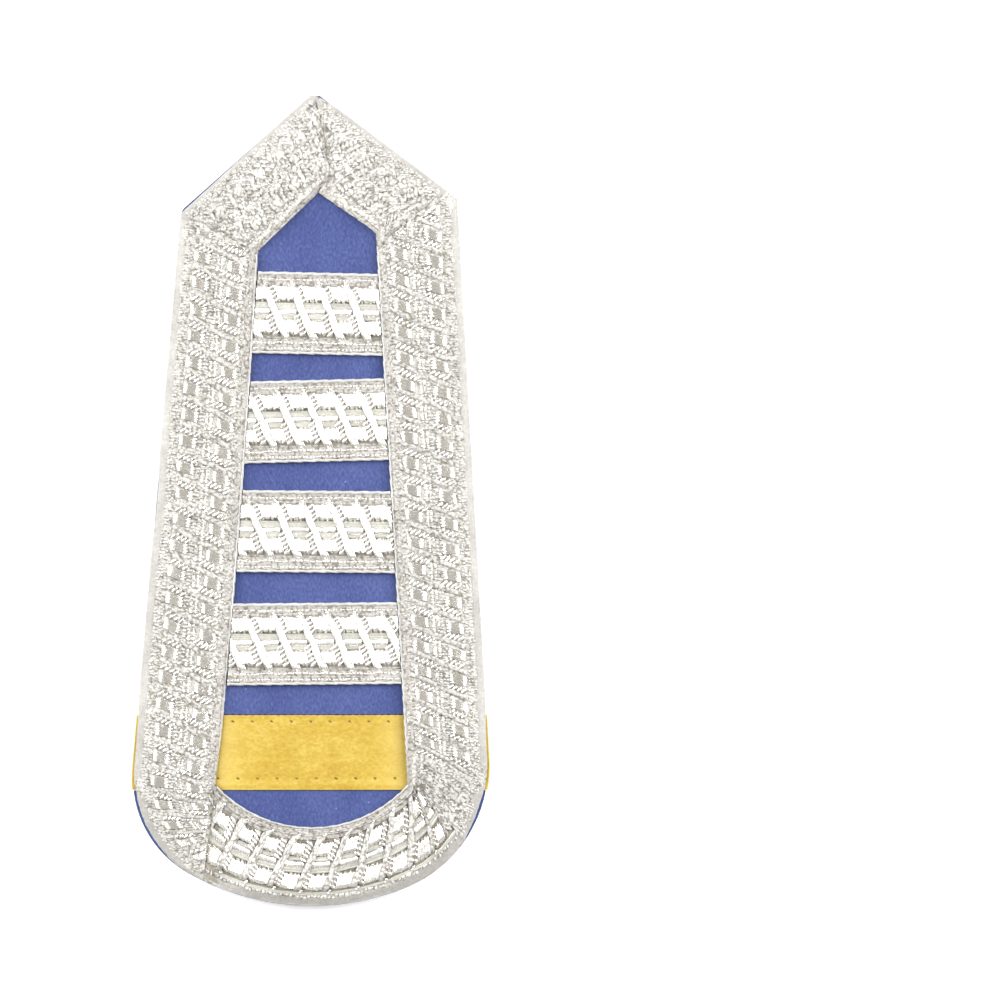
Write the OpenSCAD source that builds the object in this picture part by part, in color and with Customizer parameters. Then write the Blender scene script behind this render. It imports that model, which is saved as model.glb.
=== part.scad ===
// Shoulder board: a stiff cloth-covered board with a peaked top and a broad rounded foot.
// It lies face up: X runs across it, +Y points to the peak, and Z = 0 is the plane that it rests on.

/* [Board] */
// Length from the foot to the blunt tip of the peak
board_l = 135.2; // [128:0.2:142]
// Greatest width, near the foot
board_w = 59.2; // [56:0.2:62]
// Width across the shoulders, where the peak begins
shoulder_w = 45.8; // [43:0.2:48]
// Height of the tip above the middle of the shoulders
peak_h = 18.2; // [16:0.2:21]
// How far the hand-cut peak lies to the left of the middle line
peak_shift = 1; // [0:0.1:2]
// How much higher the right shoulder was cut than the left
shoulder_skew = 2.6; // [0:0.1:3]
// Height that the blunt tip loses from a sharp peak
tip_cut = 0.55; // [0.2:0.05:1]
// Radius of the shoulders
shoulder_r = 1.6; // [1:0.1:3]
// Radius of the lower left corner
left_corner_r = 18; // [16:0.5:20]
// Radius of the lower right corner
right_corner_r = 22; // [19:0.5:24]
// Radius of the foot's edge
foot_r = 42; // [38:0.5:48]
// Thickness of the stiff board with its cloth
board_t = 2.4; // [2.2:0.1:3]
// Rounding of the cloth round the back edge
edge_round = 0.7; // [0.3:0.1:0.9]

/* [Lace] */
// Width of the lace as it is woven
lace_w = 13.6; // [12.6:0.1:14.4]
// Thickness of the lace's ground
lace_t = 1; // [0.8:0.05:1.2]
// Height of the ribs and edge cords above the ground
rib_rise = 0.4; // [0.2:0.05:0.6]
// Height of the satin blocks and centre bars above the ground
block_rise = 0.25; // [0.1:0.05:0.5]
// Length of one repeat of the woven figure
repeat_l = 4.5; // [4:0.1:5.5]
// Sideways run of a diagonal rib over the width of the lace
rib_lean = 2.6; // [2:0.1:3.2]
// Width of cloth left bare outside the border lace
cloth_margin = 0.2; // [0.1:0.05:0.5]
// Radius of the window's edge at the foot
window_foot_r = 21.5; // [20.5:0.5:24]
// How far the left side lace was laid in at its middle
side_bow = 0.5; // [0:0.1:0.8]
// Gap where two ends of lace meet
seam_gap = 0.12; // [0.05:0.01:0.3]

/* [Bars and ribbon] */
// Distance from the tip of the peak to the middle of the first bar
first_bar = 36.4; // [35:0.1:38]
// Distance from the middle of one bar to the next
bar_pitch = 18.35; // [17.6:0.05:18.8]
// Gap between the end of a bar and the border lace
bar_gap = 0.12; // [0.05:0.01:0.3]
// Distance from the foot's edge to the middle of the ribbon
ribbon_from_foot = 25.6; // [24.6:0.1:26.6]
// Width of the ribbon
ribbon_w = 12.6; // [11:0.1:13.4]
// Thickness of the ribbon
ribbon_t = 1; // [0.8:0.05:1.1]
// Height of the ribbon above the cloth
ribbon_rise = 0.3; // [0.1:0.05:0.4]
// Angle at which the ribbon was laid
ribbon_tilt = 0.9; // [0:0.1:2]
// Clearance of the ribbon in its bed
ribbon_gap = 0.05; // [0.03:0.01:0.1]
// Length of ribbon turned in on the back at each edge
ribbon_turn_in = 12; // [8:0.5:15]

/* [Fastening tongue] */
// Width of the tongue
tongue_w = 18; // [15:0.5:22]
// Length of the tongue
tongue_l = 104; // [96:1:112]
// Thickness of the tongue
tongue_t = 1.5; // [1.2:0.1:2]
// Gap between the loose part of the tongue and the back
tongue_gap = 0.3; // [0.2:0.05:0.5]
// Length of the tongue's sewn end
sewn_l = 10; // [8:0.5:14]
// Distance of the sewn end from the foot's edge
sewn_from_foot = 9; // [6:0.5:12]
// Diameter of the hole for the shoulder button
button_hole_d = 5; // [4:0.1:6]
// Distance of the button hole from the tongue's free end
button_hole_from_end = 10; // [8:0.5:14]

/* [Hidden] */
$fn = 64;

blue = [0.13, 0.17, 0.47];
silver = [0.82, 0.81, 0.78];
gold = [0.93, 0.72, 0.18];

// Laying of the border lace: its width at the two ends of each run, as shares of lace_w.
// Columns: at the shoulder, at the far end
LEFT_SLOPE = [1.012, 0.915];
RIGHT_SLOPE = [0.902, 0.987];
LEFT_SIDE = [0.97, 1.03];
RIGHT_SIDE = [1.01, 0.998];
// Width of the lace at the middle of the foot, as a share of lace_w
FOOT = 0.967;

// Laying of the bars. Columns: drop from even spacing as a share of lace_w, angle
BARS = [
    [0, -0.36],
    [-0.034, 2.2],
    [-0.026, 0.4],
    [0, 1.35]
];

// Seams of the border lace at the shoulders, as shares of lace_w.
// Columns: way up the slope from the shoulder, way up from the window's corner
LEFT_SHOULDER_SEAM = [-0.09, 0];
RIGHT_SHOULDER_SEAM = [0.15, -0.19];

// Darts in the border at the foot. Columns: place as a share of board_w, angle from the middle line
LEFT_DART = [-0.293, -6.4];
RIGHT_DART = [0.227, 6.3];

// Width of an edge cord, as a share of lace_w
CORD = 0.045;
// Bands across the lace, as shares of its width from one edge. Columns: start, end
BLOCKS = [[0.165, 0.36], [0.6, 0.795]];
CENTRE_BAR = [0.455, 0.51];
// Places across the lace where a rib's outline has its points, as shares of the width
RIB_STEPS = [0.1, 0.26, 0.42, 0.58, 0.74, 0.88];
// Sizes along the lace as shares of repeat_l
RIB_SHARE = 0.26;
BLOCK_SHARE = 0.6;
BAR_SHARE = 0.52;
RIB_CURL = 0.05;

// Angle of the middle of the foot
FOOT_MIDDLE = -90;

half_l = board_l / 2;
half_w = board_w / 2;
shoulder_y = half_l - peak_h;
back_z = tongue_t + tongue_gap;
face_z = back_z + board_t;
ribbon_y = ribbon_from_foot - half_l;
far = board_l;

function unit(v) = v / norm(v);
function left_of(v) = [-v[1], v[0]];
function crossing(p, u, q, v) = p + u * cross(q - p, v) / cross(u, v);
function on_circle(centre, r, angle) = centre + r * [cos(angle), sin(angle)];
function arc(centre, r, from, to, steps) =
    [for (i = [0 : steps]) on_circle(centre, r, from + (to - from) * i / steps)];
function angle_of(v) = atan2(v[1], v[0]);
// Distance from p along the unit direction u to the far side of a circle
function reach(p, u, centre, r) =
    let (c = centre - p, along = c * u) along + sqrt(along * along - c * c + r * r);

// Corners of the outline before they are rounded
tip = [-peak_shift, half_l + tip_cut];
left_shoulder = [-shoulder_w / 2, shoulder_y - shoulder_skew / 2];
right_shoulder = [shoulder_w / 2, shoulder_y + shoulder_skew / 2];

// Circles of the foot and the lower corners
foot_c = [0, foot_r - half_l];
function corner_c(side, r) =
    let (x = half_w - r, run = foot_r - r) [side * x, foot_c[1] - sqrt(run * run - x * x)];
left_c = corner_c(-1, left_corner_r);
right_c = corner_c(1, right_corner_r);
left_foot_angle = angle_of(left_c - foot_c);
right_foot_angle = angle_of(right_c - foot_c);

// Angle at which a side leaves its shoulder and touches its corner's circle
function touch_angle(shoulder, centre, r, side) =
    let (v = shoulder - centre) angle_of(v) - side * acos(r / norm(v));
left_touch = touch_angle(left_shoulder, left_c, left_corner_r, -1);
right_touch = touch_angle(right_shoulder, right_c, right_corner_r, 1);
left_side_end = on_circle(left_c, left_corner_r, left_touch);
right_side_end = on_circle(right_c, right_corner_r, right_touch);

// A corner rounded by radius r, walked from a through b to c with the shape on the left
function rounded(a, b, c, r, steps) =
    let (
        u = unit(b - a),
        v = unit(c - b),
        centre = crossing(a + left_of(u) * r, u, b + left_of(v) * r, v),
        from = angle_of(-left_of(u)),
        turn = acos(u * v)
    )
    arc(centre, r, from, from + turn, steps);

// Outline of the board drawn in by d, from the tip anticlockwise
function outline_points(d) =
    let (
        slope_l = unit(left_shoulder - tip),
        slope_r = unit(tip - right_shoulder),
        side_l = unit(left_side_end - left_shoulder),
        side_r = unit(right_shoulder - right_side_end),
        on_l = left_shoulder + left_of(slope_l) * d,
        on_r = right_shoulder + left_of(slope_r) * d,
        top = [0, half_l - d],
        left_turn = crossing(on_l, slope_l, left_side_end + left_of(side_l) * d, side_l),
        right_turn = crossing(on_r, slope_r, right_side_end + left_of(side_r) * d, side_r),
        tip_l = crossing(on_l, slope_l, top, [1, 0]),
        tip_r = crossing(on_r, slope_r, top, [1, 0]),
        r = max(shoulder_r - d, shoulder_r / 4)
    )
    concat(
        [tip_l],
        rounded(tip_l, left_turn, on_circle(left_c, left_corner_r - d, left_touch), r, 6),
        arc(left_c, left_corner_r - d, left_touch, 360 + left_foot_angle, 16),
        arc(foot_c, foot_r - d, left_foot_angle, right_foot_angle, 24),
        arc(right_c, right_corner_r - d, right_foot_angle, right_touch, 16),
        rounded(on_circle(right_c, right_corner_r - d, right_touch), right_turn, tip_r, r, 6),
        [tip_r]
    );

module outline(d) {
    polygon(outline_points(d));
}

// Inner edge of a run of lace laid along the line from a to b, as [point, direction]
function inner_edge(a, b, laid) =
    let (
        n = left_of(unit(b - a)),
        p = a + n * lace_w * laid[0],
        q = b + n * lace_w * laid[1]
    )
    [p, unit(q - p)];
left_slope_in = inner_edge(tip, left_shoulder, [LEFT_SLOPE[1], LEFT_SLOPE[0]]);
right_slope_in = inner_edge(right_shoulder, tip, RIGHT_SLOPE);
left_side_in = inner_edge(left_shoulder, left_side_end, LEFT_SIDE);
right_side_in = inner_edge(right_side_end, right_shoulder, [RIGHT_SIDE[1], RIGHT_SIDE[0]]);
function moved(edge, d) = [edge[0] + left_of(edge[1]) * d, edge[1]];
function meet(e, f) = crossing(e[0], e[1], f[0], f[1]);

// The circle of the window's lower edge, and where a side of the window drawn in by d meets it
window_c = [0, window_foot_r + FOOT * lace_w - half_l];
function low_corner(edge, way, d) =
    edge[0] + way * edge[1] * reach(edge[0], way * edge[1], window_c, window_foot_r - d);

// Corners of the window drawn in by d: tip, left, lower left, lower right, right
function window_corners(d) =
    let (
        slope_l = moved(left_slope_in, d),
        side_l = moved(left_side_in, d),
        side_r = moved(right_side_in, d),
        slope_r = moved(right_slope_in, d)
    )
    [
        meet(slope_l, slope_r), meet(slope_l, side_l),
        low_corner(side_l, 1, d), low_corner(side_r, -1, d), meet(side_r, slope_r)
    ];

function window_points(d) =
    let (
        c = window_corners(d),
        bow = [for (i = [1 : 7]) let (t = i / 8)
            c[1] * (1 - t) + c[2] * t + [4 * side_bow * t * (1 - t), 0]]
    )
    concat(
        [c[0], c[1]],
        bow,
        arc(window_c, window_foot_r - d, angle_of(c[2] - window_c), angle_of(c[3] - window_c), 24),
        [c[4]]
    );

module window(d) {
    polygon(window_points(d));
}

corners = window_corners(0);
low_left_angle = angle_of(corners[2] - window_c);
low_right_angle = angle_of(corners[3] - window_c);

// Seams of the border lace, each [at the outer edge, at the window]
tip_seam = [tip, corners[0]];
left_seam = [
    left_shoulder + unit(left_shoulder - left_side_end) * lace_w * LEFT_SHOULDER_SEAM[0],
    corners[1] + [0, lace_w * LEFT_SHOULDER_SEAM[1]]
];
right_seam = [
    right_shoulder + unit(tip - right_shoulder) * lace_w * RIGHT_SHOULDER_SEAM[0],
    corners[4] + [0, lace_w * RIGHT_SHOULDER_SEAM[1]]
];
function dart(place) =
    let (
        middle = [place[0] * board_w, lace_w / 2 - half_l],
        up = [-sin(place[1]), cos(place[1])] * lace_w
    )
    [middle - up, middle + up];
left_dart = dart(LEFT_DART);
right_dart = dart(RIGHT_DART);

// A seam moved sideways by half its gap and lengthened past both edges of the lace
function seam_side(seam, side) =
    let (
        u = unit(seam[1] - seam[0]),
        shift = left_of(u) * side * seam_gap / 2
    )
    [seam[0] + shift - u * lace_w, seam[1] + shift + u * lace_w / 10];

// The border from one seam anticlockwise to the next. The area that it is cut from has points
// outside the board between the seams and closes through the middle of the window.
module border(first, last, beyond) {
    from = seam_side(first, -1);
    to = seam_side(last, 1);
    intersection() {
        difference() {
            outline(cloth_margin);
            window(0);
        }
        polygon(concat([[0, 0], from[1], from[0]], beyond, [to[0], to[1]]));
    }
}

module border_cords() {
    difference() {
        outline(cloth_margin);
        outline(cloth_margin + CORD * lace_w);
    }
    difference() {
        window(-CORD * lace_w);
        window(0);
    }
}

// Sector round the foot, past the window's lower corners
module foot_sector(from, to) {
    polygon(concat([window_c], arc(window_c, far, from, to, 3)));
}

// Woven figure. A place on the lace is its distance along it and a share of its width.
// Shift of the figure along the lace at a share of its width
function slant(share) = rib_lean * (share - 0.5) - RIB_CURL * repeat_l * sin(720 * (share - 0.5));

function block_points(band, length) =
    [for (p = [[band[0], -1], [band[1], -1], [band[1], 1], [band[0], 1]])
        [repeat_l / 2 + slant(p[0]) + p[1] * length * repeat_l / 2, p[0]]];

function rib_points() = concat(
    [for (s = RIB_STEPS) [slant(s) - RIB_SHARE * repeat_l / 2, s]],
    [for (i = [len(RIB_STEPS) - 1 : -1 : 0])
        [slant(RIB_STEPS[i]) + RIB_SHARE * repeat_l / 2, RIB_STEPS[i]]]
);

// A shape of the figure laid k repeats along the run that place() describes
module woven(place, k, points) {
    polygon([for (p = points) place(p[0] + k * repeat_l, p[1])]);
}

module ribs(place, from, to) {
    for (k = [from : to]) woven(place, k, rib_points());
}

module blocks(place, from, to) {
    for (k = [from : to]) {
        for (band = BLOCKS) woven(place, k, block_points(band, BLOCK_SHARE));
        woven(place, k, block_points(CENTRE_BAR, BAR_SHARE));
    }
}

// Run along the straight edge from a to b, its lace to the left
function straight(a, b, laid) =
    let (l = norm(b - a), u = unit(b - a))
    function (s, share)
        let (w = lace_w * (laid[0] + (laid[1] - laid[0]) * s / l))
        a + u * s + left_of(u) * (cloth_margin + (w - cloth_margin) * share);

// Run round the foot, measured along the middle of the lace from the middle of the foot
left_join = angle_of(on_circle(foot_c, foot_r, left_foot_angle) - window_c);
right_join = angle_of(on_circle(foot_c, foot_r, right_foot_angle) - window_c);
function outer_reach(angle) =
    let (u = [cos(angle), sin(angle)])
    angle < left_join ? reach(window_c, u, left_c, left_corner_r)
    : angle > right_join ? reach(window_c, u, right_c, right_corner_r)
    : reach(window_c, u, foot_c, foot_r);
foot_mid_r = window_foot_r + lace_w / 2;
round_foot =
    function (s, share)
        let (
            angle = s / foot_mid_r * 180 / PI + FOOT_MIDDLE,
            outer = outer_reach(angle) - cloth_margin
        )
        on_circle(window_c, outer + (window_foot_r - outer) * share, angle);
function repeats(length) = ceil(length / repeat_l);
function foot_repeats(angle) = round((angle - FOOT_MIDDLE) * PI / 180 * foot_mid_r / repeat_l);

// Lace on the face, with room under it for the ribbon.
// Children: its area, the ribs and cords that stand on it, the satin blocks
module lace() {
    color(silver)
        difference() {
            union() {
                translate([0, 0, face_z])
                    linear_extrude(lace_t)
                        children(0);
                raised(rib_rise) {
                    children(0);
                    children(1);
                }
                raised(block_rise) {
                    children(0);
                    children(2);
                }
            }
            translate([0, 0, back_z])
                linear_extrude(board_t + ribbon_rise + ribbon_gap)
                    ribbon_band(ribbon_gap);
        }
}

module raised(rise) {
    translate([0, 0, face_z + lace_t / 2])
        linear_extrude(lace_t / 2 + rise)
            intersection() {
                children(0);
                children(1);
            }
}

// Cloth-covered board
module board() {
    color(blue)
        difference() {
            hull() {
                for (angle = [0, 30, 60, 90])
                    translate([0, 0, back_z + edge_round * (1 - cos(angle))])
                        linear_extrude(board_t - edge_round * (1 - cos(angle)))
                            outline(edge_round * (1 - sin(angle)));
            }
            ribbon_wrap(ribbon_gap);
        }
}

// Ribbon across the lower field, let into the cloth and turned in on the back
module ribbon_band(grow) {
    translate([0, ribbon_y])
        rotate(ribbon_tilt)
            square([2 * board_w, ribbon_w + 2 * grow], center = true);
}

module ribbon_wrap(grow) {
    proud = ribbon_rise + grow;
    bed = ribbon_t - ribbon_rise + grow;
    difference() {
        translate([0, 0, back_z - proud])
            linear_extrude(board_t + 2 * proud)
                intersection() {
                    outline(-proud);
                    ribbon_band(grow);
                }
        translate([0, 0, back_z + bed])
            linear_extrude(board_t - 2 * bed)
                outline(bed);
        translate([0, ribbon_y, back_z])
            cube([board_w - 2 * ribbon_turn_in - 2 * grow, 2 * ribbon_w, 2 * ribbon_t], center = true);
    }
}

module ribbon() {
    color(gold) ribbon_wrap(0);
}

// Bars of lace across the field
module bar(i) {
    y = half_l - first_bar - i * bar_pitch - BARS[i][0] * lace_w;
    u = [cos(BARS[i][1]), sin(BARS[i][1])];
    place =
        function (s, share)
            [0, y] + u * s + left_of(u) * lace_w * (0.5 - share);
    n = repeats(board_w / 4);
    lace() {
        intersection() {
            window(bar_gap);
            polygon([place(-half_w, 0), place(-half_w, 1), place(half_w, 1), place(half_w, 0)]);
        }
        union() {
            ribs(place, -n, n);
            for (band = [[-CORD, CORD], [1 - CORD, 1 + CORD]])
                polygon([
                    place(-half_w, band[0]), place(-half_w, band[1]),
                    place(half_w, band[1]), place(half_w, band[0])
                ]);
        }
        blocks(place, -n, n);
    }
}

// Border lace on the slopes of the peak
module peak_lace_left() {
    place = straight(tip, left_shoulder, [LEFT_SLOPE[1], LEFT_SLOPE[0]]);
    n = repeats(norm(tip - left_shoulder));
    lace() {
        border(tip_seam, left_seam, [[-far, far]]);
        union() {
            ribs(place, 0, n);
            border_cords();
        }
        blocks(place, 0, n);
    }
}

module peak_lace_right() {
    place = straight(right_shoulder, tip, RIGHT_SLOPE);
    n = repeats(norm(tip - right_shoulder));
    lace() {
        border(right_seam, tip_seam, [[far, far]]);
        union() {
            ribs(place, -1, n);
            border_cords();
        }
        blocks(place, -1, n);
    }
}

// Border lace down one side and round its lower corner
module side_lace(first, last, beyond, place, corner_from, corner_to) {
    from = foot_repeats(corner_from) - 1;
    to = foot_repeats(corner_to) + 1;
    n = repeats(board_l);
    lace() {
        border(first, last, beyond);
        union() {
            down_and_round(corner_from, corner_to) {
                ribs(place, -3, n);
                ribs(round_foot, from, to);
            }
            border_cords();
        }
        down_and_round(corner_from, corner_to) {
            blocks(place, -3, n);
            blocks(round_foot, from, to);
        }
    }
}

// The first child down the side, and the second from the window's lower corner round the foot
module down_and_round(corner_from, corner_to) {
    difference() {
        children(0);
        foot_sector(low_left_angle, low_right_angle);
    }
    intersection() {
        children(1);
        foot_sector(corner_from, corner_to);
    }
}

module side_lace_left() {
    side_lace(
        left_seam, left_dart, [[-far, half_l], [-far, -far]],
        straight(left_shoulder, left_side_end, LEFT_SIDE),
        low_left_angle, FOOT_MIDDLE
    );
}

module side_lace_right() {
    side_lace(
        right_dart, right_seam, [[far, -far], [far, half_l]],
        straight(right_side_end, right_shoulder, [RIGHT_SIDE[1], RIGHT_SIDE[0]]),
        FOOT_MIDDLE, low_right_angle
    );
}

// Border lace round the foot
module foot_lace() {
    from = foot_repeats(low_left_angle) - 1;
    to = foot_repeats(low_right_angle) + 1;
    lace() {
        border(left_dart, right_dart, [[0, -far]]);
        union() {
            ribs(round_foot, from, to);
            border_cords();
        }
        blocks(round_foot, from, to);
    }
}

// Strap under the back: sewn on near the foot, loose from there to its buttoned end
module fastening_tongue() {
    sewn_y = sewn_from_foot - half_l;
    round_y = sewn_y + tongue_l - tongue_w / 2;
    color(blue) {
        linear_extrude(tongue_t)
            difference() {
                union() {
                    translate([-tongue_w / 2, sewn_y]) square([tongue_w, round_y - sewn_y]);
                    translate([0, round_y]) circle(d = tongue_w);
                }
                translate([0, sewn_y + tongue_l - button_hole_from_end]) circle(d = button_hole_d);
            }
        translate([-tongue_w / 2, sewn_y, 0]) cube([tongue_w, sewn_l, back_z]);
    }
}

board();
ribbon();
bar(0);  // bar_1
bar(1);  // bar_2
bar(2);  // bar_3
bar(3);  // bar_4
peak_lace_left();
peak_lace_right();
side_lace_left();
side_lace_right();
foot_lace();
fastening_tongue();
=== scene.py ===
"""Looks of the shoulder board: silver lace sewn over a blue cloth-covered board with a golden ribbon.

Lengths are in millimetres, as the board is drawn, and a piece is turned to metres when it is laid in its
place. Finishes, lights and the camera are in metres.
"""

import math

import bpy
import numpy as np
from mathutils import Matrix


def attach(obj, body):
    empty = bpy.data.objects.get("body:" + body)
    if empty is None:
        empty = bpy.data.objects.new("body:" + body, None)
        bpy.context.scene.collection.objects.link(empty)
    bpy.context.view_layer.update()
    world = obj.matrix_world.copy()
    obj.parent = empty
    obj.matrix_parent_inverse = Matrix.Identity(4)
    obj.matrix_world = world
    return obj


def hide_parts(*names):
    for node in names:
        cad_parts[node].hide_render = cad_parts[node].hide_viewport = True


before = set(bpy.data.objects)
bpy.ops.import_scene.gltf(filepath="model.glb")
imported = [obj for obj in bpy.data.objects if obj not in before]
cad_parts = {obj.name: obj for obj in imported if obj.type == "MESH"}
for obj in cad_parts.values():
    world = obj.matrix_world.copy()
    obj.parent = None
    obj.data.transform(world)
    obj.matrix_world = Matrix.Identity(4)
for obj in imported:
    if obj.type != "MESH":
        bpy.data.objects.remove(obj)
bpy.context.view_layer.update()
MM = 0.001

# Sizes of the board, its lace and its ribbon, as they are drawn
BOARD_L, BOARD_W = 135.2, 59.2
SHOULDER_W, PEAK_H, PEAK_SHIFT, SHOULDER_SKEW, TIP_CUT = 45.8, 18.2, 1.0, 2.6, 0.55
LEFT_CORNER_R, RIGHT_CORNER_R, FOOT_R = 18.0, 22.0, 42.0
BACK_Z, FACE_Z = 1.8, 4.2
LACE_W, WINDOW_FOOT_R, SIDE_BOW = 13.6, 21.5, 0.5
LEFT_SLOPE, RIGHT_SLOPE = (1.012, 0.915), (0.902, 0.987)
LEFT_SIDE, RIGHT_SIDE, FOOT = (0.97, 1.03), (1.01, 0.998), 0.967
FIRST_BAR, BAR_PITCH, BAR_GAP = 36.4, 18.35, 0.12
RIBBON_FROM_FOOT, RIBBON_W, RIBBON_RISE, RIBBON_TILT = 25.6, 12.6, 0.3, 0.9
RIBBON_TURN_IN = 12.0
TONGUE_W, TONGUE_L, TONGUE_T, SEWN_L, SEWN_FROM_FOOT = 18.0, 104.0, 1.5, 10.0, 9.0
BUTTON_HOLE_D, BUTTON_HOLE_FROM_END = 5.0, 10.0

# Each bar: drop from even spacing, angle in degrees, place of a rib along it
BARS = ((0.0, -0.36, 2.1), (-0.46, 2.2, 0.1), (-0.35, 0.4, 0.0), (0.0, 1.35, 0.0))

HALF_L, HALF_W = BOARD_L / 2, BOARD_W / 2
SHOULDER_Y = HALF_L - PEAK_H
RIBBON_Y = RIBBON_FROM_FOOT - HALF_L


# Plane geometry

def vec(x, y):
    return np.array((x, y), float)


def unit(v):
    return v / np.linalg.norm(v)


def left_of(v):
    return vec(-v[1], v[0])


def cross(a, b):
    return a[0] * b[1] - a[1] * b[0]


def crossing(p, u, q, v):
    """Where the line through p along u meets the line through q along v."""
    return p + u * cross(q - p, v) / cross(u, v)


def heading(degrees):
    a = math.radians(degrees)
    return vec(math.cos(a), math.sin(a))


def on_circle(centre, r, degrees):
    return centre + r * heading(degrees)


def arc(centre, r, start, end, step=0.5):
    """Points every step along an arc, from start to end in degrees."""
    n = max(2, int(abs(math.radians(end - start)) * r / step) + 1)
    return np.array([on_circle(centre, r, a) for a in np.linspace(start, end, n)])


def angle_of(v):
    return math.degrees(math.atan2(v[1], v[0]))


def far_side(p, u, centre, r):
    """Where the line from p along u leaves a circle."""
    c = centre - p
    along = c @ u
    return p + u * (along + math.sqrt(along * along - c @ c + r * r))


def lengths(path):
    """Distance of each point along a path."""
    return np.concatenate(([0], np.cumsum(np.linalg.norm(np.diff(path, axis=0), axis=1))))


def at_marks(path, marks, wanted):
    """Points of a path at the wanted marks, when each of its own points has one."""
    return np.stack([np.interp(wanted, marks, path[:, i]) for i in (0, 1)], axis=1)


def points_along(path, distances):
    return at_marks(path, lengths(path), distances)


# Lines of the board

tip = vec(-PEAK_SHIFT, HALF_L + TIP_CUT)
left_shoulder = vec(-SHOULDER_W / 2, SHOULDER_Y - SHOULDER_SKEW / 2)
right_shoulder = vec(SHOULDER_W / 2, SHOULDER_Y + SHOULDER_SKEW / 2)
foot_c = vec(0, FOOT_R - HALF_L)


def corner_centre(side, r):
    x, run = HALF_W - r, FOOT_R - r
    return vec(side * x, foot_c[1] - math.sqrt(run * run - x * x))


def side_end(shoulder, centre, r, side):
    """Where a side of the board touches its lower corner's circle."""
    v = shoulder - centre
    turn = math.degrees(math.acos(r / np.linalg.norm(v)))
    return on_circle(centre, r, angle_of(v) - side * turn)


left_c = corner_centre(-1, LEFT_CORNER_R)
right_c = corner_centre(1, RIGHT_CORNER_R)
left_side_end = side_end(left_shoulder, left_c, LEFT_CORNER_R, -1)
right_side_end = side_end(right_shoulder, right_c, RIGHT_CORNER_R, 1)


def foot_edge():
    """The board's edge from the left side round the foot to the right side."""
    start, left_join, right_join, end = (angle_of(v) % 360 for v in (
        left_side_end - left_c, left_c - foot_c, right_c - foot_c, right_side_end - right_c))
    if end < right_join:
        end += 360
    return np.concatenate((
        arc(left_c, LEFT_CORNER_R, start, left_join),
        arc(foot_c, FOOT_R, left_join, right_join),
        arc(right_c, RIGHT_CORNER_R, right_join, end),
    ))


def inner_edge(a, b, laid):
    """Where the inner edge of lace lies that is laid along the edge from a to b: (point, direction)."""
    n = left_of(unit(b - a))
    p, q = a + n * LACE_W * laid[0], b + n * LACE_W * laid[1]
    return p, unit(q - p)


left_slope_in = inner_edge(tip, left_shoulder, LEFT_SLOPE[::-1])
right_slope_in = inner_edge(right_shoulder, tip, RIGHT_SLOPE)
left_side_in = inner_edge(left_shoulder, left_side_end, LEFT_SIDE)
right_side_in = inner_edge(right_side_end, right_shoulder, RIGHT_SIDE[::-1])
window_c = vec(0, WINDOW_FOOT_R + FOOT * LACE_W - HALF_L)
window_tip = crossing(*left_slope_in, *right_slope_in)
window_left = crossing(*left_slope_in, *left_side_in)
window_right = crossing(*right_side_in, *right_slope_in)
window_low_left = far_side(*left_side_in, window_c, WINDOW_FOOT_R)
window_low_right = far_side(right_side_in[0], -right_side_in[1], window_c, WINDOW_FOOT_R)

# Seams of the border lace, each (at the outer edge, at the window)
LEFT_SEAM_DROP, RIGHT_SEAM_RISE, RIGHT_SEAM_DROP = 0.09, 0.15, 0.19  # shares of the lace's width
tip_bends = (tip, vec(1.2, 58.1), vec(1.76, 54.0), window_tip)
tip_seams = tuple(zip(tip_bends, tip_bends[1:]))
left_seam = (left_shoulder - unit(left_shoulder - left_side_end) * LACE_W * LEFT_SEAM_DROP, window_left)
right_seam = (right_shoulder + unit(tip - right_shoulder) * LACE_W * RIGHT_SEAM_RISE,
              window_right - vec(0, LACE_W * RIGHT_SEAM_DROP))


def dart(across, degrees):
    """A dart in the lace round the foot: its seam, from its place across the board and its lean."""
    middle = vec(across, LACE_W / 2 - HALF_L)
    up = left_of(heading(degrees)) * LACE_W
    return middle - up, middle + up


left_dart = dart(-17.35, -6.4)
right_dart = dart(13.44, 6.3)
# Rims of the board at the shoulders, where one lace laps over the end of the other
left_rim = (left_shoulder, left_side_end)
right_rim = (right_shoulder, tip)

# The ribbon's own space: s along it and v across it, both from its middle
ribbon_cos, ribbon_sin = heading(RIBBON_TILT)


def ribbon_to_board(s, v):
    return s * ribbon_cos - v * ribbon_sin, RIBBON_Y + s * ribbon_sin + v * ribbon_cos


def board_to_ribbon(xy):
    y = xy[:, 1] - RIBBON_Y
    return xy[:, 0] * ribbon_cos + y * ribbon_sin, y * ribbon_cos - xy[:, 0] * ribbon_sin


# Runs of lace

# Distance from one repeat to the next as the lace is laid: on the slopes, down the left side and round its
# corner, round the foot, up the right side, and on the bars
SLOPE_PITCH, LEFT_PITCH, CORNER_PITCH = 4.5, 4.4, 4.35
FOOT_PITCH, RIGHT_PITCH, ON_BAR_PITCH = 4.55, 4.38, 4.55


class Run:
    """A stretch on which lace is laid: matched points on its two edges, and the number of the repeat at each.
    hems says how far inside the board's edge the lace ends at each point. Below 0 it stands out past it."""

    def __init__(self, outer, inner, number, hems=0.0):
        out = (outer - inner) / np.linalg.norm(outer - inner, axis=1)[:, None]
        self.number, self.inner = number, inner
        self.outer = outer - out * np.reshape(hems, (-1, 1))

    def place(self, number, share):
        """Points at repeat numbers along the run and shares of its width from the outer edge."""
        outer, inner = (at_marks(edge, self.number, number) for edge in (self.outer, self.inner))
        return outer + (inner - outer) * share[:, None]

    def width(self, number):
        return np.interp(number, self.number, np.linalg.norm(self.inner - self.outer, axis=1))


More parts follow.
